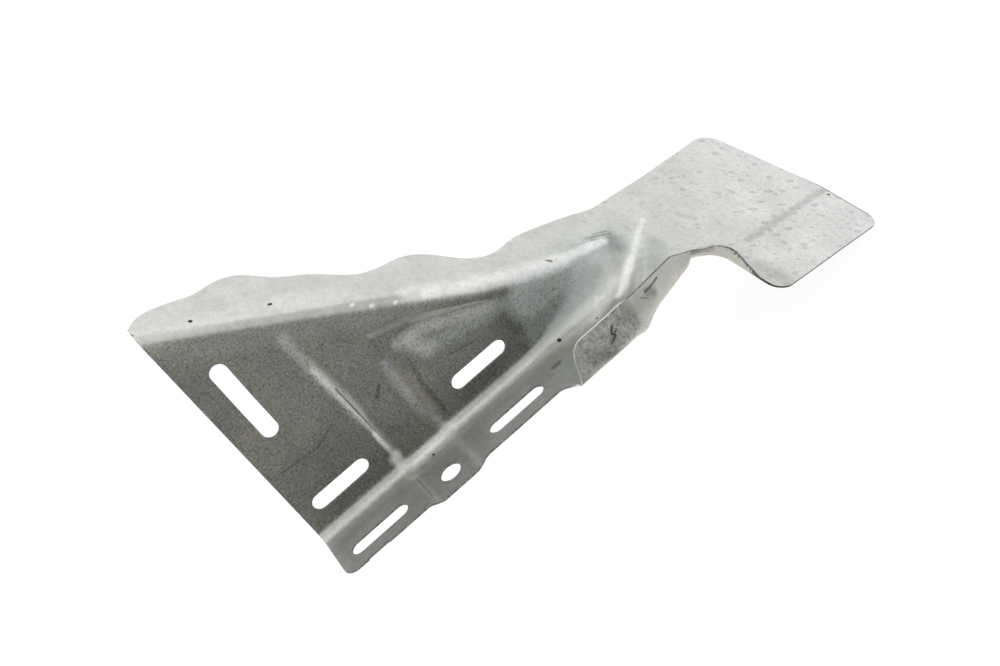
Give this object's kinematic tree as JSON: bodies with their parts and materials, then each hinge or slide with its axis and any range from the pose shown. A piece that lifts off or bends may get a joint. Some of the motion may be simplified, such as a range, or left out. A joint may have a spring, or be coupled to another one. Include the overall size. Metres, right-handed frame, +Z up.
{
  "type": "radiator support bracket",
  "caption": "Pressed sheet bracket: slotted foot and wall with a sunken panel, sloping wavy-edged top, scooped arm with upturned lip and flat end plate.",
  "frame": {"origin": "centre of the line between the two foot slots, at the foot's upper face; the round hole lies there too, in the sunken panel", "axes": "+X along the foot towards the arm and the end plate, +Z up from the foot's upper face, the wall stands behind and its open face looks towards -Y"},
  "size_m": [0.3184, 0.1329, 0.2099],
  "materials": {
    "sheet": "dull zinc-coated pressed steel with water spots, dark grime on the wall and rubbed bright bends"
  },
  "bodies": {
    "root": {"bracket": "sheet"}
  },
  "joints": []
}
